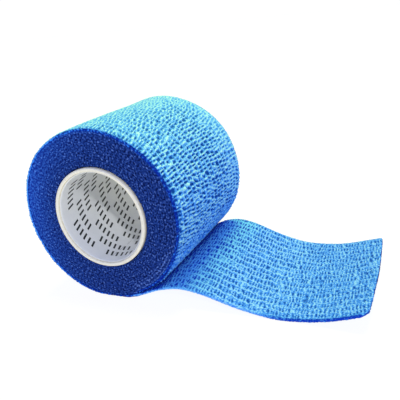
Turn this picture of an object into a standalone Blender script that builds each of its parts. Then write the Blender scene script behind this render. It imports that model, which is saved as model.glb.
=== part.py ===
"""A roll of crinkled elastic tape on a paperboard core, its loose end lying out to one side.

Units are metres and +Z is up. The origin is on the flat spot that the roll rests on, straight under the
middle of its axis. The axis lies along Y, and the loose end runs out along +X.

Angles on the roll are counted from straight down, and grow towards +X, the way the tape is wound.
"""

from math import atan2, cos, pi, radians, sin, tan

import bmesh
import bpy
import numpy as np

MM = 0.001

# The wound tape
TAPE_WIDTH = 50 * MM
TAPE_THICKNESS = 1.0 * MM
ROLL_RADIUS = 28.4 * MM
AXIS_HEIGHT = 27.6 * MM
RIM_ROUNDING = 0.5 * MM
ROUNDING_RISE = 6  # the rims' rounding fades in and out over a sixth of the turn
ROLL_SEGMENTS = 96

# The core, which lies a little below the roll's own axis, and the paper ply that lines it
CORE_HEIGHT = 27.1 * MM
CORE_OUTER_RADIUS = 16.2 * MM
CORE_INNER_RADIUS = 15.05 * MM
CORE_STANDS_PROUD = 0.55 * MM
CORE_EDGE_ROUNDING = 0.2 * MM
LINER_THICKNESS = 0.4 * MM
LINER_SET_IN = 0.8 * MM
RING_STEPS = 80
GAP = 0.3 * MM

# The loose end: where it leaves the roll, and where its cut edge lies
LEAVES_AT_NEAR = radians(24.5)
LEAVES_AT_FAR = radians(31.0)
WEDGE_FILL = 3.0 * MM
END_X = 79.9 * MM
END_SKEW = 2.5 * MM
END_FURTHEST_AT = -0.84  # share of half the width where the cut edge lies furthest out
CORNER_CUT_NEAR = 1.6 * MM
CORNER_CUT_FAR = 0.5 * MM
CORNER_SPREAD = 1.2  # a corner is cut this many times as far across as it is cut in
TAIL_SEGMENTS = 40

# Heights of the loose end's middle surface above the floor, along its near and its far edge:
# it humps where it peels off the roll, lies down, and lifts again to its cut edge.
TAIL_HEIGHTS = [
    # x, near edge, far edge
    (20.0, 5.25, 6.60),
    (26.0, 5.80, 7.72),
    (32.0, 4.90, 6.60),
    (38.0, 3.40, 4.25),
    (44.0, 2.00, 2.05),
    (50.0, 0.95, 0.85),
    (56.0, 0.50, 0.50),
    (62.0, 0.85, 0.72),
    (68.0, 1.95, 1.75),
    (74.0, 3.60, 3.45),
    (82.0, 6.30, 6.10),
]

# Slow unevenness of the outer turns: lobes round the roll, waves across it, height and phase
ROLL_UNEVENNESS = [
    # lobes, waves, height in mm, phase
    (3, 0.0, 0.10, 2.3),
    (5, 0.6, 0.08, 0.4),
    (7, -1.0, 0.06, 1.7),
]

# Places across the width where the section is drawn, as shares of half the width
SECTION_PLACES = [-1.0, -0.984, -0.93, -0.72, -0.48, -0.24, 0.0, 0.24, 0.48, 0.72, 0.93, 0.984, 1.0]


def clear_scene():
    """Start from an empty scene."""
    for old in list(bpy.data.objects):
        bpy.data.objects.remove(old, do_unlink=True)


def new_collection(name):
    """A collection of its own for the object's pieces."""
    collection = bpy.data.collections.new(name)
    bpy.context.scene.collection.children.link(collection)
    return collection


def principled(name, colour, roughness, metallic=0.0):
    """A plain Principled BSDF material."""
    material = bpy.data.materials.new(name)
    material.use_nodes = True
    shader = material.node_tree.nodes["Principled BSDF"]
    shader.inputs["Base Color"].default_value = (*colour, 1.0)
    shader.inputs["Roughness"].default_value = roughness
    shader.inputs["Metallic"].default_value = metallic
    return material


def add_piece(name, mesh, collection, material):
    """An object of its own for one piece, with its material, shaded smooth away from its edges."""
    piece = bpy.data.objects.new(name, mesh)
    collection.objects.link(piece)
    mesh.materials.append(material)
    mesh.shade_smooth()
    mesh.set_sharp_from_angle(angle=radians(35))
    return piece


def mix(low, high, share):
    return low + (high - low) * share


def smooth_curve(knots_x, knots_z, first_slope, x):
    """Height at x on cubic pieces through the knots; each knot's slope is that of its neighbours' chord."""
    slopes = np.gradient(knots_z, knots_x)
    slopes[0] = first_slope
    piece = np.clip(np.searchsorted(knots_x, x) - 1, 0, len(knots_x) - 2)
    span = knots_x[piece + 1] - knots_x[piece]
    s = (x - knots_x[piece]) / span
    return (
        (2 * s**3 - 3 * s**2 + 1) * knots_z[piece]
        + (s**3 - 2 * s**2 + s) * span * slopes[piece]
        + (3 * s**2 - 2 * s**3) * knots_z[piece + 1]
        + (s**3 - s**2) * span * slopes[piece + 1]
    )


def rim_inset(place):
    """How far the outer turn draws in near the two end faces: a quarter round of RIM_ROUNDING."""
    from_face = (1.0 - abs(place)) * TAPE_WIDTH / 2
    if from_face >= RIM_ROUNDING:
        return 0.0
    return RIM_ROUNDING - (RIM_ROUNDING**2 - (RIM_ROUNDING - from_face) ** 2) ** 0.5


def end_x(place):
    """Where the cut edge of the loose end lies at one place across the width, with its corners rounded."""
    bow = END_SKEW * ((place - END_FURTHEST_AT) / (1 - END_FURTHEST_AT)) ** 2
    from_face = (1.0 - abs(place)) * TAPE_WIDTH / 2
    corner = CORNER_CUT_NEAR if place < 0 else CORNER_CUT_FAR
    cut = corner * max(0.0, 1.0 - from_face / (corner * CORNER_SPREAD)) ** 2
    return END_X - bow - cut


def tail_section(place):
    """Underside and top points of the loose end at one place across the width, from the roll outwards.

    Its middle line leaves the outermost turn along the turn's own tangent and then follows
    TAIL_HEIGHTS; the two faces stand half a thickness off it, along its normal.
    """
    across = (place + 1) / 2
    leaves_at = mix(LEAVES_AT_NEAR, LEAVES_AT_FAR, across)
    middle_radius = ROLL_RADIUS - TAPE_THICKNESS / 2
    start_x = middle_radius * sin(leaves_at)
    start_z = AXIS_HEIGHT - middle_radius * cos(leaves_at)

    heights = np.array(TAIL_HEIGHTS) * MM
    knots_x = np.append(start_x, heights[:, 0])
    knots_z = np.append(start_z, mix(heights[:, 1], heights[:, 2], across))

    x = np.append(start_x, np.linspace(start_x + WEDGE_FILL, end_x(place), TAIL_SEGMENTS))
    z = smooth_curve(knots_x, knots_z, tan(leaves_at), x)
    slope = np.gradient(z, x)
    slope[0] = tan(leaves_at)
    length = np.sqrt(1 + slope**2)
    half = TAPE_THICKNESS / 2
    under = np.column_stack([x + half * slope / length, np.maximum(z - half / length, 0.0)])
    top = np.column_stack([x - half * slope / length, z + half / length])
    return leaves_at, under, top


def roll_section(place, leaves_at, wedge_corner):
    """Points of the roll's outer surface, and the angles they stand at, one turn of a spiral.

    The radius grows by one tape thickness over the turn, from the corner of the wedge under the loose
    end, round the top, to the place where the loose end leaves. It is cut level at the floor.
    """
    starts_at = atan2(wedge_corner[0], AXIS_HEIGHT - wedge_corner[1])
    angles = np.linspace(starts_at, leaves_at + 2 * pi, ROLL_SEGMENTS + 1)
    turned = np.linspace(0.0, 1.0, ROLL_SEGMENTS + 1)
    radius = ROLL_RADIUS - TAPE_THICKNESS * (1 - turned)
    fade = np.sin(pi * turned) ** 0.5
    for lobes, waves, height, phase in ROLL_UNEVENNESS:
        radius = radius + height * MM * fade * np.sin(lobes * angles + waves * pi * place + phase)
    radius = radius - rim_inset(place) * np.minimum(1.0, ROUNDING_RISE * np.minimum(turned, 1 - turned))
    x = radius * np.sin(angles)
    z = np.maximum(AXIS_HEIGHT - radius * np.cos(angles), 0.0)
    return angles, np.column_stack([x, z])


def tape_loop(place):
    """The whole outline at one place across the width, seen from the near side, anticlockwise."""
    leaves_at, under, top = tail_section(place)
    angles, roll = roll_section(place, leaves_at, top[1])
    return angles, np.vstack([roll, under[1:], top[:0:-1]])


def tape_mesh():
    """The wound tape with its loose end: a loft of its outline across the width, and a bore for the core."""
    bm = bmesh.new()
    loops = []
    for place in SECTION_PLACES:
        _, outline = tape_loop(place)
        y = place * TAPE_WIDTH / 2
        loops.append([bm.verts.new((x, y, z)) for x, z in outline])

    for near, far in zip(loops, loops[1:]):
        for i, vertex in enumerate(near):
            after = (i + 1) % len(near)
            bm.faces.new((vertex, near[after], far[after], far[i]))

    bore_radius = CORE_OUTER_RADIUS + GAP
    bores = []
    for place in (SECTION_PLACES[0], SECTION_PLACES[-1]):
        angles, _ = tape_loop(place)
        y = place * TAPE_WIDTH / 2
        bores.append(
            [
                bm.verts.new((bore_radius * sin(a), y, CORE_HEIGHT - bore_radius * cos(a)))
                for a in angles
            ]
        )
    near_bore, far_bore = bores
    for i, vertex in enumerate(near_bore):
        after = (i + 1) % len(near_bore)
        bm.faces.new((far_bore[i], far_bore[after], near_bore[after], vertex))

    close_end(bm, loops[0], near_bore, near_side=True)
    close_end(bm, loops[-1], far_bore, near_side=False)

    mesh = bpy.data.meshes.new("tape")
    bmesh.ops.triangulate(bm, faces=bm.faces)
    bmesh.ops.recalc_face_normals(bm, faces=bm.faces)
    bm.to_mesh(mesh)
    bm.free()
    return mesh


def close_end(bm, outline, bore, near_side):
    """One end face: quads between the bore and the roll, quads along the loose end, one face between."""
    roll = outline[: ROLL_SEGMENTS + 1]
    under = outline[ROLL_SEGMENTS + 1 : ROLL_SEGMENTS + 1 + TAIL_SEGMENTS]
    top = outline[: -TAIL_SEGMENTS - 1 : -1]
    faces = [(roll[i], roll[i + 1], bore[i + 1], bore[i]) for i in range(ROLL_SEGMENTS)]
    faces += [(under[i], under[i + 1], top[i + 1], top[i]) for i in range(TAIL_SEGMENTS - 1)]
    faces.append((bore[-1], roll[-1], under[0], top[0], roll[0], bore[0]))
    for face in faces:
        bm.faces.new(face if near_side else face[::-1])


def ring_mesh(name, outer_radius, inner_radius, length):
    """The closed profile of a ring's wall, beside its axis, for a Screw modifier to turn."""
    half = length / 2
    corners = [(outer_radius, half), (outer_radius, -half), (inner_radius, -half), (inner_radius, half)]
    mesh = bpy.data.meshes.new(name)
    mesh.from_pydata(
        [(radius, 0.0, height) for radius, height in corners],
        [(0, 1), (1, 2), (2, 3), (3, 0)],
        [],
    )
    return mesh


def turned_ring(name, outer_radius, inner_radius, length, rounding, collection, material):
    """A ring turned about the core's axis, its rims rounded where a rounding is given."""
    mesh = ring_mesh(name, outer_radius, inner_radius, length)
    ring = add_piece(name, mesh, collection, material)
    ring.location = (0.0, 0.0, CORE_HEIGHT)
    ring.rotation_euler = (-pi / 2, 0.0, 0.0)
    screw = ring.modifiers.new("turned", "SCREW")
    screw.axis = "Z"
    screw.steps = RING_STEPS
    screw.render_steps = RING_STEPS
    screw.use_merge_vertices = True
    screw.merge_threshold = 0.00001
    screw.use_smooth_shade = True
    if rounding:
        bevel = ring.modifiers.new("rounded rims", "BEVEL")
        bevel.width = rounding
        bevel.segments = 2
        bevel.limit_method = "ANGLE"
        bevel.angle_limit = radians(60)
    return ring


def build():
    clear_scene()
    pieces = new_collection("elastic_tape_roll")
    add_piece("tape", tape_mesh(), pieces, principled("blue crinkled cloth", (0.06, 0.33, 0.80), 0.9))
    turned_ring(
        "core",
        CORE_OUTER_RADIUS,
        CORE_INNER_RADIUS,
        TAPE_WIDTH + 2 * CORE_STANDS_PROUD,
        CORE_EDGE_ROUNDING,
        pieces,
        principled("cream paperboard", (0.80, 0.76, 0.66), 0.85),
    )
    liner_outer = CORE_INNER_RADIUS - GAP
    turned_ring(
        "core_liner",
        liner_outer,
        liner_outer - LINER_THICKNESS,
        TAPE_WIDTH + 2 * CORE_STANDS_PROUD - 2 * LINER_SET_IN,
        0.0,
        pieces,
        principled("smooth grey paper", (0.55, 0.57, 0.60), 0.55),
    )


build()
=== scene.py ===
"""A roll of crinkled elastic tape on a paperboard core, its loose end lying out to one side.

Metres, +Z up. The roll's axis lies along Y, and the loose end runs out along +X. Sizes on the tape and its
core are written in millimetres and brought to metres where a mesh is made. Angles on the roll are counted
from straight down, and grow towards +X.
"""

from math import pi, radians, sin, cos

import bpy
import numpy as np
from mathutils import Matrix, Vector


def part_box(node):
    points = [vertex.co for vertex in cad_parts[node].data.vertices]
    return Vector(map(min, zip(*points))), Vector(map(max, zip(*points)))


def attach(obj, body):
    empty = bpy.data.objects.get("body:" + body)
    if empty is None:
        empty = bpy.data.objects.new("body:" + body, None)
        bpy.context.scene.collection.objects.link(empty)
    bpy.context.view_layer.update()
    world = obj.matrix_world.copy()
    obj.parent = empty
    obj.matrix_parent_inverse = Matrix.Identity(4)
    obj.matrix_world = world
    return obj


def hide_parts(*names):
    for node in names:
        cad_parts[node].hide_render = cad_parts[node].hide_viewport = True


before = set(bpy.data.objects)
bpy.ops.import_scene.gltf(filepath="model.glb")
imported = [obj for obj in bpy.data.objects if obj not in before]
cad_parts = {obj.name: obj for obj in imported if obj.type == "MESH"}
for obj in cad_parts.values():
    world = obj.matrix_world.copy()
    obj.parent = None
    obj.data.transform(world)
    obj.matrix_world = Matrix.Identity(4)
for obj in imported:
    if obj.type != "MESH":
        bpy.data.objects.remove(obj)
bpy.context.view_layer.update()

MM = 0.001


# The camera stands in front of the roll's near end, a little to the right of it and above, and is held
# slightly tilted.
CAMERA_PLACE = (0.0971, -0.1491, 0.0855)
CAMERA_AZIMUTH = radians(26.53)
CAMERA_ELEVATION = radians(19.98)
CAMERA_TILT = radians(-6.37)
CAMERA_LENS = 48.3
CAMERA_SENSOR = 36.0
CAMERA_CLIP = 0.01

camera = bpy.data.objects.new("camera", bpy.data.cameras.new("camera"))
bpy.context.scene.collection.objects.link(camera)
camera.data.sensor_width = CAMERA_SENSOR
camera.data.lens = CAMERA_LENS
camera.data.clip_start = CAMERA_CLIP
camera.matrix_world = (
    Matrix.Translation(CAMERA_PLACE)
    @ Matrix.Rotation(CAMERA_AZIMUTH, 4, "Z")
    @ Matrix.Rotation(pi / 2 - CAMERA_ELEVATION, 4, "X")
    @ Matrix.Rotation(CAMERA_TILT, 4, "Z")
)
bpy.context.scene.camera = camera


# The outermost turn of the tape: two thin layers of blue fleece with elastic threads glued in between.
# The threads pull the cloth together, so between each two threads it stands up in small cross ribs with
# deep pits between them.
AXIS_HEIGHT = 27.6
TAPE_WIDTH = 50.0
HALF_WIDTH = TAPE_WIDTH / 2
TAPE_THICKNESS = 1.0
ROLL_RADIUS = 28.4
LEAVES_AT_NEAR = radians(24.5)
LEAVES_AT_FAR = radians(31.0)
TURN_FROM, TURN_TO = -0.010, 1.012
THREAD_PITCH = 2.857
THREAD_WIDTH = 0.28
RIB_PITCH = 1.38
ROLL_THREAD = 0.08
ROLL_BROKEN = 0.55
PIT_DEPTH = 0.48
FACE_LEVEL = 0.66
RIM_ROUNDING = 0.30
SIDE_DEPTHS = np.array([0.25, 0.5, 0.75, 1.0])
SIDE_SET_IN = 0.05
SIDE_RAGGED = 0.14
# Painted light on the turn's cut side, from its outer face in: raised relief, and a share of the face's
# colours
SIDE_PAINTED_LIGHT = np.array([1.0, 0.75, 0.40, 0.20])
SIDE_OPEN = np.array([0.6, 0.3, 0.0, 0.0])
STEPS_ROUND = 676
CELLS_ACROSS = 119
CELLS_INSIDE = 10
UV_SIZE = 100.0

# Millimetres that a rib leans over a lane, at degrees round the roll
RIB_SLANTS = np.array([(60.0, 0.4), (95.0, 0.8), (160.0, -0.7)])

SHEEN_TINT = (0.45, 0.80, 1.0)
FUZZ = 1.9
# Shade Low and Shade High give the deep blue of the painted shade and of the turn's cut sides.
ROLL_COLOURS = {
    "Pit": (0.002, 0.066, 0.330),
    "Body": (0.070, 0.342, 0.950),
    "Rib": (0.370, 0.790, 0.860),
    "Shade Low": (0.002, 0.024, 0.350),
    "Shade High": (0.032, 0.260, 1.000),
}


def drift(along, across, step_along, step_across, seed):
    """Soft random hills from -1 to 1.

    Random heights stand on a lattice of step_along by step_across, and between four of them the height
    is eased by s * s * (3 - 2 * s) each way.
    """
    a, b = np.broadcast_arrays(np.asarray(along) / step_along, np.asarray(across) / step_across)
    i, j = np.floor(a).astype(int), np.floor(b).astype(int)
    s, t = a - i, b - j
    s, t = s * s * (3 - 2 * s), t * t * (3 - 2 * t)
    i, j = i - i.min(), j - j.min()
    heights = np.random.default_rng(seed).uniform(-1, 1, (i.max() + 2, j.max() + 2))
    below = heights[i, j] * (1 - s) + heights[i + 1, j] * s
    above = heights[i, j + 1] * (1 - s) + heights[i + 1, j + 1] * s
    return below * (1 - t) + above * t


def ease(x, low, high):
    """0 below low, 1 above high, and s * s * (3 - 2 * s) between."""
    s = np.clip((x - low) / (high - low), 0, 1)
    return s * s * (3 - 2 * s)


def fades(angle, low, high):
    """1 below low degrees, 0 above high degrees, and eased between."""
    return 1 - ease(angle, radians(low), radians(high))


def speckle(x, y, size, seed):
    """Even-grained random hills, most of them within -1 to 1.

    Forty plane waves of about twice the grain size, in random directions and phases, are added up and
    divided by the root of their number.
    """
    random = np.random.default_rng(seed)
    waves = 40
    hills = 0
    for _ in range(waves):
        turn, phase = random.uniform(0, 2 * pi, 2)
        wave = 2 * pi / (2 * size * random.uniform(0.7, 1.5))
        hills = hills + np.cos(wave * (x * cos(turn) + y * sin(turn)) + phase)
    return hills / np.sqrt(waves)


def crinkle(along, across, rib_pitch, slant, thread, broken, seed):
    """Height of the cloth's face, from 0 in a pit to 1 on a rib, at millimetres along and across the tape.

    The threads part the width into lanes, and wander a little from side to side. In a lane the ribs are a
    cosine of the way along, whose phase drifts at random, slowly together with its neighbours' and faster
    by itself, and leans by slant millimetres over the lane. A pit is one less the rib, to the power of
    twice broken, times a sine over the lane that closes it at the threads, times a random depth. A crest
    is the cube of the rib, the threads stand up by thread, and fuzz is laid over. The larger broken is, as
    a number or an array, the less even the rows of pits are, and the more of them are interrupted.
    """
    more = broken - ROLL_BROKEN
    place = (across + HALF_WIDTH) / THREAD_PITCH + 0.10 * drift(along, across, 9.0, 30.0, seed + 1)
    place = place + (0.10 + 0.25 * more) * drift(along, across, 0.9, 1.9, seed + 9)
    lane = np.floor(place)
    share = place - lane
    wander = 2.0 * drift(along, lane, 7.0, 4.0, seed + 3) + 1.8 * drift(along, lane, 7.0, 1.0, seed + 2)
    wander = wander + (2.4 + 2.0 * more) * drift(along, lane, 1.7, 1.0, seed + 4)
    lean = 2 * pi / rib_pitch * slant * (1 + 0.8 * drift(along, across, 5.0, 3.0, seed + 5))
    lean = lean * (share - 0.5)
    rib = 0.5 + 0.5 * np.cos(2 * pi * along / rib_pitch + wander + lean)
    breaks = broken * drift(along, across, 0.7, 0.7, seed + 11)
    uneven = (0.85 - 0.35 * broken) * drift(along, across, 1.3, 2.0, seed + 6)
    depth = np.clip(0.80 + uneven + breaks, 0.0, 1.2)
    pit = 1.08 * (1 - rib) ** (2.0 * broken) * np.sin(pi * share) ** 0.95 * depth
    high = 0.75 + 0.6 * drift(along, across, 1.1, 1.4, seed + 10) - breaks
    crest = 0.44 * rib**3 * np.sin(pi * share) ** 0.6 * np.clip(high, 0.0, 1.5)
    off_thread = np.minimum(share, 1 - share) * THREAD_PITCH
    ridge = thread * np.exp(-((off_thread / THREAD_WIDTH) ** 2))
    fuzz = (0.10 + 0.20 * broken) * speckle(along, across, 0.33, seed + 7)
    fuzz = fuzz + 0.05 * speckle(along, across, 0.9, seed + 8)
    return np.clip(0.70 - 0.95 * pit + crest + ridge + fuzz, 0.0, 1.3)


def mesh_of_rings(name, points, flat, lids, **attributes):
    """A closed mesh from rings of points, one ring per step along the piece.

    points is (steps, ring, 3) in millimetres, and flat holds each point's place on the flat piece, for the
    UV map. Quads join each ring to the next, and each point to the one after it round the ring. With lids
    the first and the last ring are closed by a face each, and without them the last ring joins the first.
    Where the signed volume comes out negative the faces are turned over. Each of the attributes holds one
    number for each point.
    """
    steps, ring = points.shape[:2]
    number = np.arange(steps * ring).reshape(steps, ring)
    around = np.roll(number, -1, axis=1)
    quads = np.stack([number, around, np.roll(around, -1, axis=0), np.roll(number, -1, axis=0)], -1)
    end_faces = []
    if lids:
        quads = quads[:-1]
        end_faces = [number[0, ::-1], number[-1]]
    quads = quads.reshape(-1, 4)
    co = points.reshape(-1, 3) * MM
    a, b, c, d = (co[quads[:, k]] for k in range(4))
    volume = ((a * np.cross(b, c)).sum() + (a * np.cross(c, d)).sum()) / 6
    if volume < 0:
        quads = quads[:, ::-1]
        end_faces = [face[::-1] for face in end_faces]
    corners = np.concatenate([quads.ravel(), *end_faces]).astype(np.int32)
    sizes = np.array([4] * len(quads) + [ring] * len(end_faces), np.int32)
    starts = np.concatenate([[0], np.cumsum(sizes)[:-1]]).astype(np.int32)
    mesh = bpy.data.meshes.new(name)
    mesh.vertices.add(len(co))
    mesh.vertices.foreach_set("co", co.astype(np.float32).ravel())
    mesh.loops.add(len(corners))
    mesh.loops.foreach_set("vertex_index", corners)
    mesh.polygons.add(len(sizes))
    mesh.polygons.foreach_set("loop_start", starts)
    mesh.update(calc_edges=True)
    for attribute, values in attributes.items():
        layer = mesh.attributes.new(attribute, "FLOAT", "POINT")
        layer.data.foreach_set("value", values.astype(np.float32).ravel())
    uv = mesh.uv_layers.new(name="cloth")
    uv.data.foreach_set("uv", (flat.reshape(-1, 2)[corners] / UV_SIZE).astype(np.float32).ravel())
    mesh.shade_smooth()
    mesh.validate()
    return mesh


def add_piece(mesh, material, node):
    """Links a finished mesh as a piece of the roll, under the root body, and hides the CAD node it stands
    for.
    """
    piece = bpy.data.objects.new(mesh.name, mesh)
    bpy.context.scene.collection.objects.link(piece)
    mesh.materials.append(material)
    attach(piece, "root")
    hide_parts(node)
    return piece


def new_material(name, specular):
    """A material with its node tree and its shader, a Principled BSDF."""
    material = bpy.data.materials.new(name)
    material.use_nodes = True
    shader = material.node_tree.nodes["Principled BSDF"]
    shader.inputs["Specular IOR Level"].default_value = specular
    return material, material.node_tree, shader


def feed(tree, socket, value):
    """Gives a socket another node's output, a colour or a number."""
    if isinstance(value, bpy.types.NodeSocket):
        tree.links.new(value, socket)
    elif isinstance(value, tuple):
        socket.default_value = (*value, 1.0)
    else:
        socket.default_value = value


def math_node(tree, kind, *values):
    """Output of a Math node of one kind, from numbers or other nodes' outputs."""
    node = tree.nodes.new("ShaderNodeMath")
    node.operation = kind
    for socket, value in zip(node.inputs, values):
        feed(tree, socket, value)
    return node.outputs[0]


def noise_node(tree, scale, detail, roughness):
    """Noise from 0 to 1 on Object coordinates."""
    place = tree.nodes.new("ShaderNodeTexCoord")
    node = tree.nodes.new("ShaderNodeTexNoise")
    tree.links.new(place.outputs["Object"], node.inputs["Vector"])
    node.inputs["Scale"].default_value = scale
    node.inputs["Detail"].default_value = detail
    node.inputs["Roughness"].default_value = roughness
    return node.outputs["Fac"]


def range_node(tree, value, low, high, to_low=0.0, to_high=1.0, kind="LINEAR"):
    """A value brought from low and high to to_low and to_high, and held at them outside."""
    node = tree.nodes.new("ShaderNodeMapRange")
    node.interpolation_type = kind
    tree.links.new(value, node.inputs["Value"])
    ends = {"From Min": low, "From Max": high, "To Min": to_low, "To Max": to_high}
    for socket, end in ends.items():
        node.inputs[socket].default_value = end
    return node.outputs["Result"]


def mix_node(tree, share, first, second):
    """A colour that runs from the first to the second by share."""
    node = tree.nodes.new("ShaderNodeMix")
    node.data_type = "RGBA"
    for number, value in ((0, share), (6, first), (7, second)):
        feed(tree, node.inputs[number], value)
    return node.outputs[2]


def bump_node(tree, height, strength, distance):
    """Normal of a Bump node, whose distance is in millimetres."""
    node = tree.nodes.new("ShaderNodeBump")
    node.inputs["Strength"].default_value = strength
    node.inputs["Distance"].default_value = distance * MM
    tree.links.new(height, node.inputs["Height"])
    return node.outputs["Normal"]


def crinkled_cloth_group():
    """Colour, roughness and bump of the fleece.

    Relief runs the colour from Pit through Body to Rib, Shade runs it over to Shade Low and Shade High,
    and fine noise on Object coordinates frays both and lifts single fibres.
    """
    group = bpy.data.node_groups.new("crinkled cloth", "ShaderNodeTree")
    sockets = [("INPUT", name, "NodeSocketFloat") for name in ("Relief", "Shade", "Fuzz")]
    sockets += [("INPUT", name, "NodeSocketColor") for name in ROLL_COLOURS]
    sockets += [("OUTPUT", "Color", "NodeSocketColor"), ("OUTPUT", "Roughness", "NodeSocketFloat")]
    sockets += [("OUTPUT", "Normal", "NodeSocketVector")]
    for way, name, kind in sockets:
        group.interface.new_socket(name, in_out=way, socket_type=kind)
    given = group.nodes.new("NodeGroupInput").outputs
    out = group.nodes.new("NodeGroupOutput").inputs

    def swing(noise, amount):
        """Noise about 0, times amount."""
        return math_node(group, "MULTIPLY", math_node(group, "SUBTRACT", noise, 0.5), amount)

    def run(low, high, first, second):
        """Colour that eases from the first to the second while the frayed relief goes from low to high."""
        return mix_node(group, range_node(group, frayed, low, high, kind="SMOOTHSTEP"), first, second)

    fibres = noise_node(group, 1900.0, 3.0, 0.6)
    patches = noise_node(group, 400.0, 2.0, 0.5)
    frayed = math_node(group, "ADD", given["Relief"], swing(fibres, given["Fuzz"]))
    frayed = math_node(group, "ADD", frayed, swing(patches, 0.10))
    # Pits are darker and ribs lighter partly in the cloth's own colour, partly as painted shade and
    # highlight.
    open_face = run(0.58, 1.14, run(0.00, 0.62, given["Pit"], given["Body"]), given["Rib"])
    # The Shade colours lay on the painted shade and painted light that the shade attribute marks, and cut
    # edges' blue.
    shaded = run(0.15, 0.95, given["Shade Low"], given["Shade High"])
    group.links.new(mix_node(group, given["Shade"], open_face, shaded), out["Color"])
    rough = math_node(group, "ADD", math_node(group, "MULTIPLY", fibres, 0.2), 0.76)
    group.links.new(rough, out["Roughness"])
    group.links.new(bump_node(group, fibres, 0.5, 0.12), out["Normal"])
    return group


CRINKLED_CLOTH = crinkled_cloth_group()


def attribute_node(tree, attribute):
    """A number that the mesh keeps at each of its points."""
    node = tree.nodes.new("ShaderNodeAttribute")
    node.attribute_name = attribute
    return node.outputs["Fac"]


def cloth_material(name, sheen, colours):
    """Matt blue fleece, driven by the mesh's relief and shade attributes."""
    material, tree, shader = new_material(name, 0.03)
    shader.inputs["Sheen Weight"].default_value = sheen
    shader.inputs["Sheen Roughness"].default_value = 0.6
    shader.inputs["Sheen Tint"].default_value = (*SHEEN_TINT, 1.0)
    cloth = tree.nodes.new("ShaderNodeGroup")
    cloth.node_tree = CRINKLED_CLOTH
    cloth.inputs["Fuzz"].default_value = FUZZ
    for socket, colour in colours.items():
        cloth.inputs[socket].default_value = (*colour, 1.0)
    tree.links.new(attribute_node(tree, "relief"), cloth.inputs["Relief"])
    tree.links.new(attribute_node(tree, "shade"), cloth.inputs["Shade"])
    tree.links.new(cloth.outputs["Color"], shader.inputs["Base Color"])
    tree.links.new(cloth.outputs["Roughness"], shader.inputs["Roughness"])
    tree.links.new(cloth.outputs["Normal"], shader.inputs["Normal"])
    return material


def leaves_at(across):
    """Angle from straight down at which the loose end leaves the roll, from the near to the far edge."""
    return LEAVES_AT_NEAR + (LEAVES_AT_FAR - LEAVES_AT_NEAR) * (across / TAPE_WIDTH + 0.5)


def roll_radius(angle, across):
    """The outer turn's radius: one tape thickness of growth over the turn, and slow lobes round it."""
    turned = (angle - leaves_at(across)) / (2 * pi)
    radius = ROLL_RADIUS - TAPE_THICKNESS * (1 - turned)
    fade = np.sqrt(np.sin(pi * np.clip(turned, 0, 1)))
    half = across / HALF_WIDTH
    lobes = 0.10 * np.sin(3 * angle + 2.3) + 0.08 * np.sin(5 * angle + 0.6 * pi * half + 0.4)
    return radius + fade * (lobes + 0.06 * np.sin(7 * angle - pi * half + 1.7))


def on_roll(radius, angle, across, axis=AXIS_HEIGHT):
    """Points at a radius and an angle about the roll's axis, kept off the table it rests on."""
    height = np.maximum(axis - radius * np.cos(angle), 0.0)
    return np.stack(np.broadcast_arrays(radius * np.sin(angle), across, height), -1)


def painted_light_share(angle):
    """Share of painted light on the rims and end faces, lit as from the upper left: 0 at lower right, 1 at
    upper left.
    """
    return (0.5 - 0.5 * np.cos(angle - radians(75))) ** 2


across = np.linspace(-HALF_WIDTH, HALF_WIDTH, CELLS_ACROSS + 1)
inside_across = np.linspace(HALF_WIDTH, -HALF_WIDTH, CELLS_INSIDE + 1)
from_edge = HALF_WIDTH - np.abs(across)
turned = np.linspace(TURN_FROM, TURN_TO, STEPS_ROUND + 1)[:, None]
angle = leaves_at(across) + 2 * pi * turned
radius = roll_radius(angle, across)
along = ROLL_RADIUS * 2 * pi * turned + 0 * across

# Low down on the right the ribs' contrast is raised, as painted light and shade, and grain is laid over.
# From the top on round the back, and towards the far edge, the cloth is smoother, and its colour is
# raised towards the ribs' light blue, most at the far edge, as painted light.
slant = np.interp(angle, np.radians(RIB_SLANTS[:, 0]), RIB_SLANTS[:, 1])
relief = crinkle(along, across, RIB_PITCH, slant, ROLL_THREAD, ROLL_BROKEN, 11)
smooth = ease(angle, radians(135), radians(180)) * (0.45 + 0.15 * across / HALF_WIDTH)
smooth = np.maximum(smooth, 0.45 * ease(across, 8, 24))
brushed_and_lit_level = 0.87 + 0.13 * across / HALF_WIDTH
painted_rib_contrast = 0.35 * fades(angle, 105, 140) + 0.4 * fades(angle, 75, 100)
grainy = 0.30 * fades(angle, 75, 100) * speckle(along, across, 0.42, 35)
relief = relief + smooth * (brushed_and_lit_level - relief) + painted_rib_contrast * (relief - 0.72) + grainy

# The relief is flatter where the roll presses on the table and towards the far edge. Both edges are drawn
# in a little, and their ribs stand out sideways as teeth.
pressed = ease(np.cos(angle), 0.5, 0.9)
depth = PIT_DEPTH * (1 - 0.6 * pressed) * (1 - 0.5 * ease(across, 5, 20))
waves = 0.12 * drift(along, across, 11.0, 14.0, 31)
rounding = RIM_ROUNDING * np.exp(-from_edge / 0.25)
tooth_size = (0.7 - 0.55 * pressed) * np.where(across > 0, 0.4, 1.0)
teeth = tooth_size * (relief - 0.6) + 0.12 * drift(along, across, 5.0, 5.0, 32)
teeth = np.exp(-from_edge / 0.6) * teeth
outer = on_roll(
    radius + waves + depth * (relief - FACE_LEVEL) - rounding,
    angle,
    across + np.sign(across) * teeth,
)
inner_angle = leaves_at(inside_across) + 2 * pi * turned
inner = on_roll(roll_radius(inner_angle, inside_across) - TAPE_THICKNESS, inner_angle, inside_across)


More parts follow.
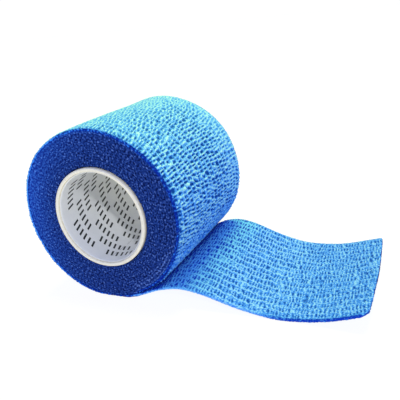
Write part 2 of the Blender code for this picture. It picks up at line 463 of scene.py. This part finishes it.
def outer_turn_side(column, half_way, seed):
    """The turn's cut side, from its outer face in: points and relief, ragged by SIDE_RAGGED.

    column is the edge's place in the grid across the tape, and half_way is -1 for the near side and 1 for
    the far one.
    """
    points = on_roll(radius[:, [column]] - SIDE_DEPTHS, angle[:, [column]], 0)
    ragged = speckle(points[..., 0], points[..., 2], 0.55, seed)
    points[..., 1] = half_way * (HALF_WIDTH - SIDE_SET_IN + SIDE_RAGGED * ragged)
    # Towards the upper left the side's relief is raised as painted light.
    side_painted_light = 1.05 * painted_light_share(angle[:, [column]]) * SIDE_PAINTED_LIGHT
    return points, 0.15 + side_painted_light + 0.35 * ragged


far_side, far_side_relief = outer_turn_side(-1, 1, 33)
near_side, near_side_relief = outer_turn_side(0, -1, 34)
rings = np.concatenate([outer, far_side, inner, near_side[:, ::-1]], 1)

# The colours' relief falls off at the rims, less at the upper left, where light is painted, and more
# under the roll, as painted shade.
rim_relief = relief - 0.5 * (1 - painted_light_share(angle)) * np.exp(-from_edge / 0.25)
rim_relief = rim_relief - 0.5 * pressed * np.exp(-from_edge)
ring_relief = [rim_relief, far_side_relief, 0 * inner[..., 0], near_side_relief[:, ::-1]]

# Painted shade, a deep saturated blue, lies in the crease above the loose end and fades out down the
# roll's lower side. Along both rims the pits are deepened too, least at the upper left, where light is
# painted. The cut sides take the Shade colours as their own deeper blue, except where painted light
# opens them at the upper left.
from_crease = angle - leaves_at(across)
crease_and_rim_shade = 0.70 * fades(from_crease, 32, 58) * (turned < 0.5)
crease_and_rim_shade = crease_and_rim_shade + 0.20 * fades(from_crease, 52, 90) * (turned < 0.5)
crease_and_rim_shade = crease_and_rim_shade * (1 - 0.5 * ease(relief, 0.85, 1.15))
seam = rim_relief + (1.2 + 0.4 * painted_light_share(angle)) * from_edge
crease_and_rim_shade = crease_and_rim_shade + 0.95 * (1 - ease(seam, 0.6, 1.1))
side_shade = 1 - SIDE_OPEN * painted_light_share(angle[:, [0]])
ring_shade = [np.clip(crease_and_rim_shade, 0, 1), side_shade, 1 + 0 * inner[..., 0], side_shade[:, ::-1]]
add_piece(
    mesh_of_rings(
        "outer_turn",
        rings,
        np.stack([np.broadcast_to(along[:, :1], rings.shape[:2]), rings[..., 1]], -1),
        lids=True,
        relief=np.concatenate(ring_relief, 1),
        shade=np.concatenate(ring_shade, 1),
    ),
    cloth_material("roll cloth", 0.03, ROLL_COLOURS),
    "tape",
)


# All the turns under it. On the two end faces their cut edges show as fine, ragged, closely packed rings
# of a much deeper blue, and the outermost edge is brighter.
low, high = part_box("core")
CORE_RADIUS = (high.x - low.x) / 2 / MM
CORE_HEIGHT = (high.z + low.z) / 2 / MM
CORE_HALF = (high.y - low.y) / 2 / MM
BORE_RADIUS = CORE_RADIUS + 0.3
TURN_PITCH = 0.80
RIM_UNDER = 0.8
STEP_FROM = 0.985
STEP_LENGTH = 0.015
FACE_SET_IN = 0.15
EDGE_HEIGHT = 0.22
SLACK_AT = radians(44)
SLACK_PITCH = 1.2
FACE_STEPS_ROUND = 640
FACE_CELLS = 50

# Its Shade colours are brighter blues, for the rim band and for the face's painted light.
WOUND_COLOURS = {
    "Pit": (0.0010, 0.003, 0.035),
    "Body": (0.011, 0.040, 0.235),
    "Rib": (0.120, 0.215, 0.580),
    "Shade Low": (0.012, 0.058, 0.560),
    "Shade High": (0.045, 0.245, 0.980),
}


def wound_face(half_way, seed):
    """One end face of the wound turns, from the bore out: points, flat places, relief and shade.

    half_way is -1 for the near face and 1 for the far face. The turns' edges are a cosine of the spiral,
    radius over pitch less the share of the turn, bent at random. Ragged fibres lie over them, in strokes
    along the turns and in grains, and the last turns are slack at SLACK_AT, where their edges are light.
    The rim lies RIM_UNDER inside the outer turn's face, and steps in by one thickness where the turn ends.
    """
    v = half_way * HALF_WIDTH
    round_steps = np.linspace(0, 1, FACE_STEPS_ROUND, endpoint=False)[:, None]
    share = np.linspace(0, 1, FACE_CELLS + 1)
    angle = leaves_at(v) + 2 * pi * round_steps + 0 * share
    rim = roll_radius(angle, v) - RIM_UNDER
    rim = rim - TAPE_THICKNESS * np.clip((round_steps - STEP_FROM) / STEP_LENGTH, 0, 1)
    radius = BORE_RADIUS + (rim - BORE_RADIUS) * share
    axis = CORE_HEIGHT + (AXIS_HEIGHT - CORE_HEIGHT) * share
    flat_x, flat_z = radius * np.sin(angle), radius * np.cos(angle)
    bend = 1.1 * speckle(flat_x, flat_z, 1.6, seed)
    spiral = 2 * pi * ((radius - BORE_RADIUS) / TURN_PITCH - round_steps) + bend
    to_rim = rim - radius
    slack = ease(np.cos(angle - SLACK_AT), 0.86, 0.97) * (to_rim < 3.0) * (to_rim > 0.5)
    slack = slack * np.exp(-(((np.mod(to_rim, SLACK_PITCH) - SLACK_PITCH / 2) / 0.20) ** 2))
    strokes = speckle(angle * 16.0, 1.3 * radius, 0.33, seed + 1)
    rough = 0.30 * np.minimum(strokes, 0.6) + 0.16 * speckle(flat_x, flat_z, 0.62, seed + 2)
    relief = np.clip(0.46 + 0.11 * np.cos(spiral) + rough + 0.5 * slack, 0, 1.1)
    hollow = 0.25 * np.exp(-(radius - BORE_RADIUS) / 0.5)
    y = half_way * (HALF_WIDTH - FACE_SET_IN + EDGE_HEIGHT * (relief - 0.5) - hollow)
    # The shade attribute brings in the brighter blues here: a band at the rim, the outermost edge's own
    # colour with painted light added towards the upper left, and a wash of painted light over the face's
    # left side.
    shade = (0.2 + 0.8 * painted_light_share(angle)) * np.clip(1.0 - to_rim / 1.2, 0, 1)
    shade = np.maximum(shade, 0.03 + 0.55 * share * painted_light_share(angle) ** 2)
    return on_roll(radius, angle, y, axis), np.stack([angle * ROLL_RADIUS, radius], -1), relief, shade


both_faces = zip(wound_face(-1, 51), wound_face(1, 61))
points, flat, relief, shade = (np.concatenate([near, far[:, ::-1]], 1) for near, far in both_faces)
add_piece(
    mesh_of_rings("wound_turns", points, flat, lids=False, relief=relief, shade=shade),
    cloth_material("wound edges", 0.0, WOUND_COLOURS),
    "tape",
)


# The loose end: the same tape drawn off the roll, where it humps, lies down on the table and lifts again
# to its cut edge. It is under a little tension near the roll, so its threads show as fine bright lines.
END_X = 79.9
END_SKEW = 2.5
END_FURTHEST_AT = -0.84
CORNER_NEAR = 1.6
CORNER_FAR = 0.5
CORNER_SPREAD = 1.2
TUCKED_IN = radians(8)
TUCKED_UNDER = 0.3
TUCKED_STEPS = 12
TAIL_RIB_PITCH = 1.10
TAIL_SLANT = 0.5
THREADS_DRIFT = 2.8
TAIL_RELIEF_HEIGHT = 0.26
TAIL_LEVEL = 0.68
EDGE_BULGE = 0.12
OFF_TABLE = 0.02
TAIL_STEPS = 300
TAIL_CELLS = 150

# Its Shade colours are a deep and a bright blue, for painted shade and painted bounce light about the
# crease, for the near edge's painted shade, and for the cut edges and the underside.
TAIL_COLOURS = {
    "Pit": (0.002, 0.050, 0.390),
    "Body": (0.042, 0.226, 0.950),
    "Rib": (0.226, 0.525, 1.000),
    "Shade Low": (0.002, 0.035, 0.520),
    "Shade High": (0.125, 0.540, 1.000),
}

TAIL_HEIGHTS = np.array(
    [
        # x, near edge, far edge
        (20.0, 5.25, 6.60),
        (26.0, 5.80, 7.72),
        (32.0, 4.90, 6.60),
        (38.0, 3.40, 4.25),
        (44.0, 2.00, 2.05),
        (50.0, 0.95, 0.85),
        (56.0, 0.50, 0.50),
        (62.0, 0.85, 0.72),
        (68.0, 1.95, 1.75),
        (74.0, 3.60, 3.45),
        (82.0, 6.30, 6.10),
    ]
)


def smooth_curve(knots_x, knots_z, first_slope, x):
    """Height at x on cubic pieces through the knots; a knot's slope is that of its neighbours' chord."""
    slopes = np.gradient(knots_z, knots_x)
    slopes[0] = first_slope
    piece = np.clip(np.searchsorted(knots_x, x) - 1, 0, len(knots_x) - 2)
    span = knots_x[piece + 1] - knots_x[piece]
    s = (x - knots_x[piece]) / span
    return (
        (2 * s**3 - 3 * s**2 + 1) * knots_z[piece]
        + (s**3 - 2 * s**2 + s) * span * slopes[piece]
        + (3 * s**2 - 2 * s**3) * knots_z[piece + 1]
        + (s**3 - s**2) * span * slopes[piece + 1]
    )


def cut_edge(v):
    """Where the cut edge lies: a slight bow, rounded corners, and the small teeth of the scissors' cut."""
    from_edge = HALF_WIDTH - np.abs(v)
    bow = ((v / HALF_WIDTH - END_FURTHEST_AT) / (1 - END_FURTHEST_AT)) ** 2
    corner = np.where(v < 0, CORNER_NEAR, CORNER_FAR)
    rounded = corner * np.clip(1 - from_edge / (CORNER_SPREAD * corner), 0, 1) ** 2
    ragged = 0.16 * drift(v, 0, 0.8, 1.0, 71)
    return END_X - END_SKEW * bow - rounded + ragged


def tail_middle(v):
    """Middle line of the loose end at one place across the width: x, height and slope at each step.

    It starts tucked in under the outer turn, leaves along the turn's tangent, and then follows
    TAIL_HEIGHTS, mixed between the near and the far edge.
    """
    share = v / TAPE_WIDTH + 0.5
    off = leaves_at(v)
    middle = ROLL_RADIUS - TAPE_THICKNESS / 2
    tucked = np.linspace(off - TUCKED_IN, off, TUCKED_STEPS + 1)[:-1]
    sunk = middle - TUCKED_UNDER * (off - tucked) / TUCKED_IN
    start_x = middle * np.sin(off)
    start_z = AXIS_HEIGHT - middle * np.cos(off)
    heights = TAIL_HEIGHTS[:, 1] * (1 - share) + TAIL_HEIGHTS[:, 2] * share
    knots_x = np.append(start_x, TAIL_HEIGHTS[:, 0])
    knots_z = np.append(start_z, heights)
    x = np.linspace(start_x, cut_edge(v), TAIL_STEPS - TUCKED_STEPS + 1)
    z = smooth_curve(knots_x, knots_z, np.tan(off), x)
    x = np.append(sunk * np.sin(tucked), x)
    z = np.append(AXIS_HEIGHT - sunk * np.cos(tucked), z)
    return np.stack([x, z, np.gradient(z, x)], -1)


tail_across = np.linspace(-HALF_WIDTH, HALF_WIDTH, TAIL_CELLS + 1)
middle = np.stack([tail_middle(v) for v in tail_across], 1)
x, z, slope = middle[..., 0], middle[..., 1], middle[..., 2]
length = np.sqrt(1 + slope**2)
tail_along = np.vstack([0 * x[:1], np.cumsum(np.hypot(np.diff(x, axis=0), np.diff(z, axis=0)), axis=0)])
from_edge = HALF_WIDTH - np.abs(tail_across)
from_cut = tail_along[-1] - tail_along

# From the crease on, the threads pull tight and run over towards the near edge, and past the middle they
# slacken again. The cloth is flatter and thinner at its edges, but less so where the near edge curls.
taut = ease(tail_along, 8, 24) * (1 - 0.8 * ease(tail_along, 42, 49))
slackening = 0.75 + 0.25 * ease(tail_along, 24, 50)
thread_across = tail_across + THREADS_DRIFT * ease(tail_along, 8, 46)
top_relief = crinkle(
    tail_along, thread_across, TAIL_RIB_PITCH, TAIL_SLANT, 0.10 + 0.50 * taut, slackening, 81
)
under_relief = crinkle(tail_along, thread_across, TAIL_RIB_PITCH, TAIL_SLANT, 0.12, 0.95, 91)
top_relief = top_relief + 0.7 * np.exp(-from_edge / 0.5) * (0.85 - top_relief)
thin = 1 - 0.5 * np.exp(-from_edge / 0.3) * (1 - 0.7 * (tail_across < 0) * ease(tail_along, 36, 50))
thin = thin * (1 - 0.45 * np.exp(-from_cut / 0.3))
ripple = 0.18 * drift(tail_along, tail_across, 9.0, 11.0, 72) * np.clip(tail_along / 12, 0, 1)
edge_wave = 0.35 * (top_relief - 0.6) + 0.15 * drift(tail_along, tail_across, 6.0, 5.0, 73)
edge_wave = np.exp(-from_edge / 0.6) * edge_wave
wide = tail_across + np.sign(tail_across) * edge_wave


def tail_face(side, relief):
    """One face of the loose end, half a thickness off its middle line: side is 1 on top and -1 under."""
    off = side * thin * (TAPE_THICKNESS / 2 + TAIL_RELIEF_HEIGHT * (relief - TAIL_LEVEL)) + ripple
    height = np.maximum(z + off / length, OFF_TABLE)
    return np.stack([x - off * slope / length, wide, height], -1)


top = tail_face(1, top_relief)
under = tail_face(-1, under_relief)
bulge = np.array([0, EDGE_BULGE, 0])
near_edge = (top[:, :1] + under[:, :1]) / 2 - bulge
far_edge = (top[:, -1:] + under[:, -1:]) / 2 + bulge
tail_rings = np.concatenate([near_edge, top, far_edge, under[:, ::-1]], 1)
ring_along = [tail_along[:, :1], tail_along, tail_along[:, -1:], tail_along[:, ::-1]]

# The near edge curls up past the hump, and its cut side is painted dark as shade. Where the cloth is
# tucked in and in the crease it is painted dark with shade, and just past the crease, in the roll's
# shadow, it takes brighter blues as painted bounce light.
near_edge_shade = 0.9 * np.exp(-(((HALF_WIDTH + tail_across) / 0.35) ** 2)) * ease(tail_along, 36, 54)
tucked = 1 - ease(tail_along, 9.5, 13)
top_tone = 0.66 + 0.88 * (top_relief - 0.7) - 0.45 * tucked - 0.7 * near_edge_shade
under_tone = under_relief - 0.7 * near_edge_shade
edge_column = np.ones((TAIL_STEPS + 1, 1))
ring_tone = [1.0 - 0.9 * near_edge_shade[:, :1], top_tone, 0.5 * edge_column, under_tone[:, ::-1]]
top_light_and_shade = np.maximum(0.95 * (1 - ease(tail_along, 16, 30)), 0.9 * near_edge_shade)
under_shade = np.maximum(0.55, 0.95 * near_edge_shade)
ring_shade = [near_edge_shade[:, :1], top_light_and_shade, 0.8 * edge_column, under_shade[:, ::-1]]
loose_end = add_piece(
    mesh_of_rings(
        "loose_end",
        tail_rings,
        np.stack([np.concatenate(ring_along, 1), tail_rings[..., 1]], -1),
        lids=True,
        relief=np.concatenate(ring_tone, 1),
        shade=np.concatenate(ring_shade, 1),
    ),
    cloth_material("loose end cloth", 0.03, TAIL_COLOURS),
    "tape",
)


# The core: a spiral-wound tube of cream paperboard, cut off a little proud of the tape. Its cut edge shows
# the plies it is glued up from, and the knife has left it slightly rounded.
CORE_WALL = 1.15
CORE_ROUNDING = 0.35
CORE_PLIES = 3
POINTS_PER_PLY = 8
GLUE_GROOVE = 0.045
GROOVE_WIDTH = 0.09
RIM_LENGTH = 1.0
WALL_POINTS = 5
OUT_OF_ROUND = 0.06
TUBE_STEPS = 192
BOARD_CREAM = (0.93, 0.89, 0.76)
BOARD_EDGE = (0.79, 0.73, 0.57)


def tube_profile(outer_radius, inner_radius, half_length, rounding, plies):
    """Closed cross-section of a tube, (radius, y): straight walls, rounded rims, a groove between plies.

    At the walls a rim drops by rounding, and further in by less, as a square. The grooves are Gauss
    curves GLUE_GROOVE deep.
    """
    edge_radius = np.linspace(inner_radius, outer_radius, POINTS_PER_PLY * plies + 1)
    depth = np.minimum(edge_radius - inner_radius, outer_radius - edge_radius)
    drop = rounding * np.clip(1 - depth / rounding, 0, 1) ** 2
    share = (edge_radius - inner_radius) / (outer_radius - inner_radius) * plies
    between = np.abs(share - np.round(share))
    inside = (share > 0.5) & (share < plies - 0.5)
    drop = drop + GLUE_GROOVE * np.exp(-((between / GROOVE_WIDTH) ** 2)) * inside
    far = np.stack([edge_radius, half_length - drop], -1)
    near = np.stack([edge_radius, drop - half_length], -1)
    wall_y = np.linspace(-half_length + RIM_LENGTH, half_length - RIM_LENGTH, WALL_POINTS)
    inner_wall = np.stack([0 * wall_y + inner_radius, wall_y], -1)
    outer_wall = np.stack([0 * wall_y + outer_radius, -wall_y], -1)
    return np.concatenate([inner_wall, far, outer_wall, near[::-1]])


def turned_tube(name, profile):
    """The profile turned about the core's axis, with two lobes of OUT_OF_ROUND and three of half that."""
    turn = np.linspace(0, 2 * pi, TUBE_STEPS, endpoint=False)[:, None]
    radius, y = profile[:, 0], profile[:, 1]
    lobes = OUT_OF_ROUND * (np.sin(2 * turn + 0.7) + 0.5 * np.sin(3 * turn + 2.0))
    points = on_roll(radius + lobes, turn, y, CORE_HEIGHT)
    flat = np.stack([radius.max() * turn + 0 * y, y + 0 * turn], -1)
    return mesh_of_rings(name, points, flat, lids=False, wall_radius=radius + 0 * turn)


def board_material():
    """Cream paperboard: pale plies with darker glue lines between them, and flecks of fibre.

    The place in the wall, counted in plies and folded to 0 at a ply's faces and 0.5 in its middle, runs
    the colour from BOARD_EDGE to BOARD_CREAM together with the flecks.
    """
    material, tree, shader = new_material("core board", 0.25)
    flecks = noise_node(tree, 1400.0, 3.0, 0.5)
    place = attribute_node(tree, "wall_radius")
    plies = range_node(tree, place, CORE_RADIUS - CORE_WALL, CORE_RADIUS, to_high=float(CORE_PLIES))
    glue = math_node(tree, "MULTIPLY_ADD", math_node(tree, "PINGPONG", plies, 0.5), 1.1, flecks)
    tone = range_node(tree, glue, 0.35, 0.85)
    tree.links.new(mix_node(tree, tone, BOARD_EDGE, BOARD_CREAM), shader.inputs["Base Color"])
    tree.links.new(range_node(tree, flecks, 0.0, 1.0, 0.7, 0.9), shader.inputs["Roughness"])
    tree.links.new(bump_node(tree, flecks, 0.3, 0.05), shader.inputs["Normal"])
    return material


core_profile = tube_profile(CORE_RADIUS, CORE_RADIUS - CORE_WALL, CORE_HALF, CORE_ROUNDING, CORE_PLIES)
add_piece(turned_tube("core_tube", core_profile), board_material(), "core")


# The ply that lines the core: smooth light grey paper with a plain repeating mark of short slanted dashes
# printed on it, glued in and stopping just inside the tube's two rims.
low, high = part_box("core_liner")
LINER_RADIUS = (high.x - low.x) / 2 / MM
LINER_HALF = (high.y - low.y) / 2 / MM
LINER_OUT = 0.3
LINER_IN = 0.12
LINER_ROUNDING = 0.12
PAPER_LIGHT = (0.83, 0.84, 0.85)
PAPER_DARK = (0.74, 0.75, 0.76)
INK = (0.010, 0.010, 0.014)
MARK_ROW = 4.4
MARK_GROUPS = 6
MARK_STEP = 1.9
MARK_BARS = 6
MARK_TALL = 2.8
MARK_THICK = 0.72
MARK_LEAN = 0.35
ROW_SHIFT = 0.37
BARE_END = 2.7


def paper_material():
    """Smooth paper with faint mottling and rows of hatch marks in black ink.

    A row is a band of MARK_ROW along the bore. Round the bore it repeats MARK_GROUPS times, and each group
    is MARK_BARS leaning bars, then a gap. Every row is shifted round by ROW_SHIFT of a group. There is ink
    inside a bar's thickness and height, but none in the gap or within BARE_END of the paper's two ends.
    """
    material, tree, shader = new_material("liner paper", 0.35)

    def math(kind, *values):
        """A Math node's output in this material's tree."""
        return math_node(tree, kind, *values)

    uv = tree.nodes.new("ShaderNodeUVMap")
    uv.uv_map = "cloth"
    split = tree.nodes.new("ShaderNodeSeparateXYZ")
    tree.links.new(uv.outputs["UV"], split.inputs[0])
    round_bore = math("MULTIPLY", split.outputs["X"], UV_SIZE)
    row = math("MULTIPLY", split.outputs["Y"], UV_SIZE / MARK_ROW)
    up_row = math("MULTIPLY", math("SUBTRACT", math("FRACT", row), 0.5), MARK_ROW)
    leaned = math("ADD", round_bore, math("MULTIPLY", up_row, MARK_LEAN))
    group_length = 2 * pi * LINER_RADIUS / MARK_GROUPS
    shift = math("MULTIPLY", math("FLOOR", row), ROW_SHIFT)
    group = math("ADD", math("DIVIDE", leaned, group_length), shift)
    bar = math("MULTIPLY", math("FRACT", group), group_length / MARK_STEP)
    limits = (
        (math("ABSOLUTE", math("SUBTRACT", math("FRACT", bar), 0.5)), MARK_THICK / MARK_STEP / 2),
        (math("ABSOLUTE", up_row), MARK_TALL / 2),
        (bar, float(MARK_BARS)),
        (math("ABSOLUTE", split.outputs["Y"]), (LINER_HALF - BARE_END) / UV_SIZE),
    )
    inked = 1.0
    for value, limit in limits:
        inked = math("MULTIPLY", inked, math("LESS_THAN", value, limit))
    mottle = noise_node(tree, 420.0, 4.0, 0.5)
    paper = mix_node(tree, mottle, PAPER_DARK, PAPER_LIGHT)
    tree.links.new(mix_node(tree, inked, paper, INK), shader.inputs["Base Color"])
    rough = math("ADD", math("MULTIPLY", mottle, 0.15), 0.45)
    tree.links.new(rough, shader.inputs["Roughness"])
    return material


liner_outside, liner_inside = LINER_RADIUS + LINER_OUT, LINER_RADIUS - LINER_IN
liner_profile = tube_profile(liner_outside, liner_inside, LINER_HALF, LINER_ROUNDING, 1)
add_piece(turned_tube("liner_paper", liner_profile), paper_material(), "core_liner")


# Studio: a light table, white and lit from within so that little shadow falls on it, before a lit white
# wall. On the other three sides a white backdrop only hides the dark behind it, and sheds no light. The
# main light is nearly overhead, and a small lamp in front, up on the right, shines into the core.
FLOOR_SIZE = 8.0
FLOOR_WHITE = 0.12
FLOOR_GLOW = 0.92
WALL_AT = 2.5
WALL_HEIGHT = 2.5
WALL_GLOW = 1.05
MAIN_FROM = (-0.05, 0.28, 0.95)
MAIN_COLOUR = (1.02, 1.0, 0.12)
MAIN_STRENGTH = 3.25
MAIN_SPREAD = radians(24)
LAMP_PLACE = (0.52, -0.59, 0.55)
LAMP_AIM = (0, -0.02, 0.03)
LAMP_SIZE = 0.07
LAMP_POWER = 2.7
AMBIENT = 0.36
AMBIENT_COLOUR = (0.82, 1.0, 1.74)


def staged(name, corners, material):
    """Plain quads of the studio, four corners each, which aren't part of the roll."""
    mesh = bpy.data.meshes.new(name)
    mesh.from_pydata(corners, [], [range(first, first + 4) for first in range(0, len(corners), 4)])
    mesh.materials.append(material)
    quads = bpy.data.objects.new(name, mesh)
    bpy.context.scene.collection.objects.link(quads)
    return quads


def upright(start, end):
    """Corners of a wall's quad that stands on the floor from start to end, WALL_HEIGHT high."""
    return [(*start, 0), (*end, 0), (*end, WALL_HEIGHT), (*start, WALL_HEIGHT)]


def light(name, kind, place, aim, power):
    """A light of a kind at a place, aimed at a point."""
    data = bpy.data.lights.new(name, kind)
    data.energy = power
    lamp = bpy.data.objects.new(name, data)
    bpy.context.scene.collection.objects.link(lamp)
    turned = (Vector(place) - Vector(aim)).to_track_quat("Z", "Y")
    lamp.matrix_world = Matrix.Translation(place) @ turned.to_matrix().to_4x4()
    return data


def glowing_white(name, white, glow):
    """Matt white that also gives off light of its own."""
    material, _, shader = new_material(name, 0.0)
    shader.inputs["Base Color"].default_value = (white, white, white, 1.0)
    shader.inputs["Roughness"].default_value = 0.95
    shader.inputs["Emission Color"].default_value = (1.0, 1.0, 1.0, 1.0)
    shader.inputs["Emission Strength"].default_value = glow
    return material


half = FLOOR_SIZE / 2
staged(
    "floor",
    [(-half, -half, 0), (half, -half, 0), (half, half, 0), (-half, half, 0)],
    glowing_white("light table", FLOOR_WHITE, FLOOR_GLOW),
)
lit_wall = glowing_white("lit wall", 0.0, WALL_GLOW)
staged("wall", upright((-half, WALL_AT), (half, WALL_AT)), lit_wall)
backdrop = staged(
    "backdrop",
    upright((half, half), (half, -half))
    + upright((half, -half), (-half, -half))
    + upright((-half, -half), (-half, half)),
    lit_wall,
)
for rays in ("diffuse", "glossy", "transmission", "volume_scatter", "shadow"):
    setattr(backdrop, "visible_" + rays, False)
main_light = light("main_light", "SUN", MAIN_FROM, (0, 0, 0), MAIN_STRENGTH)
main_light.angle = MAIN_SPREAD
main_light.color = MAIN_COLOUR
front_lamp = light("front_lamp", "AREA", LAMP_PLACE, LAMP_AIM, LAMP_POWER)
front_lamp.size = LAMP_SIZE

world = bpy.data.worlds.new("studio")
world.use_nodes = True
world.node_tree.nodes["Background"].inputs["Color"].default_value = (*AMBIENT_COLOUR, 1.0)
world.node_tree.nodes["Background"].inputs["Strength"].default_value = AMBIENT
bpy.context.scene.world = world
bpy.context.scene.view_settings.view_transform = "Standard"
